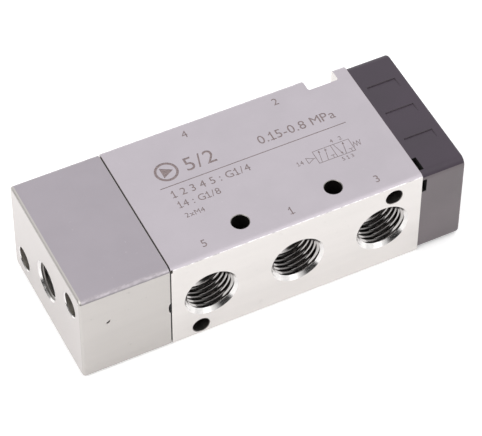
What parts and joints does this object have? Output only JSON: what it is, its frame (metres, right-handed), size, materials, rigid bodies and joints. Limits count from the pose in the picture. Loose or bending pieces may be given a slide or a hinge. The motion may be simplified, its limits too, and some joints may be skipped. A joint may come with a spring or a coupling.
{
  "type": "air-piloted directional valve",
  "caption": "Compact 5/2 pneumatic spool valve: rectangular aluminium body with threaded ports, metal pilot cap at one end and black spring cap at the other.",
  "frame": {"origin": "centre of the underside of the valve", "axes": "+X along the spool from the pilot end to the spring end, -Y out of the face with ports 5, 1 and 3, +Z out of the marked face"},
  "size_m": [0.099, 0.0396, 0.027],
  "materials": {
    "machined_body": "satin blasted top, milled port faces",
    "pilot_cap_metal": "satin blasted top, milled sides",
    "moulded_cap": "fine moulded grain",
    "black_rubber": "smooth nitrile rubber",
    "grey_rubber": "matt",
    "spool_metal": "turned and anodised",
    "piston_plastic": "moulded acetal",
    "guide_plastic": "smooth",
    "spring_steel": "drawn wire",
    "seat_brass": "turned",
    "blackened_steel": "black oxide"
  },
  "bodies": {
    "housing": {"body": "machined_body", "pilot_cap": "pilot_cap_metal", "pilot_gasket": "black_rubber", "spring_cap": "moulded_cap", "pilot_cap_screw_front": "blackened_steel", "pilot_cap_screw_back": "blackened_steel", "pilot_cap_washer_front": "blackened_steel", "pilot_cap_washer_back": "blackened_steel", "spring_cap_screw_front": "blackened_steel", "spring_cap_screw_back": "blackened_steel", "spring_cap_washer_front": "blackened_steel", "spring_cap_washer_back": "blackened_steel", "return_spring": "spring_steel"},
    "spool_group": {"spool": "spool_metal", "spool_seal_1": "black_rubber", "spool_seal_2": "black_rubber", "spool_seal_3": "black_rubber", "spool_seal_4": "black_rubber", "spool_seal_5": "black_rubber", "spool_seal_6": "black_rubber", "spring_seat": "seat_brass"},
    "piston_group": {"pilot_piston": "piston_plastic", "piston_seal": "black_rubber", "piston_guide_ring": "guide_plastic", "piston_bumper": "grey_rubber"}
  },
  "joints": [
    {"name": "spool_slide", "type": "slide", "parent": "housing", "child": "spool_group", "axis": [1, 0, 0], "range_m": [0, 0.0045], "stiffness_N_per_m": 1500, "springref_m": -0.008, "deforming": ["return_spring"]},
    {"name": "piston_slide", "type": "slide", "parent": "housing", "child": "piston_group", "axis": [1, 0, 0], "range_m": [0, 0.0045]}
  ],
  "couplings": [
    {"joint": "piston_slide", "follows": "spool_slide", "ratio": 1}
  ]
}
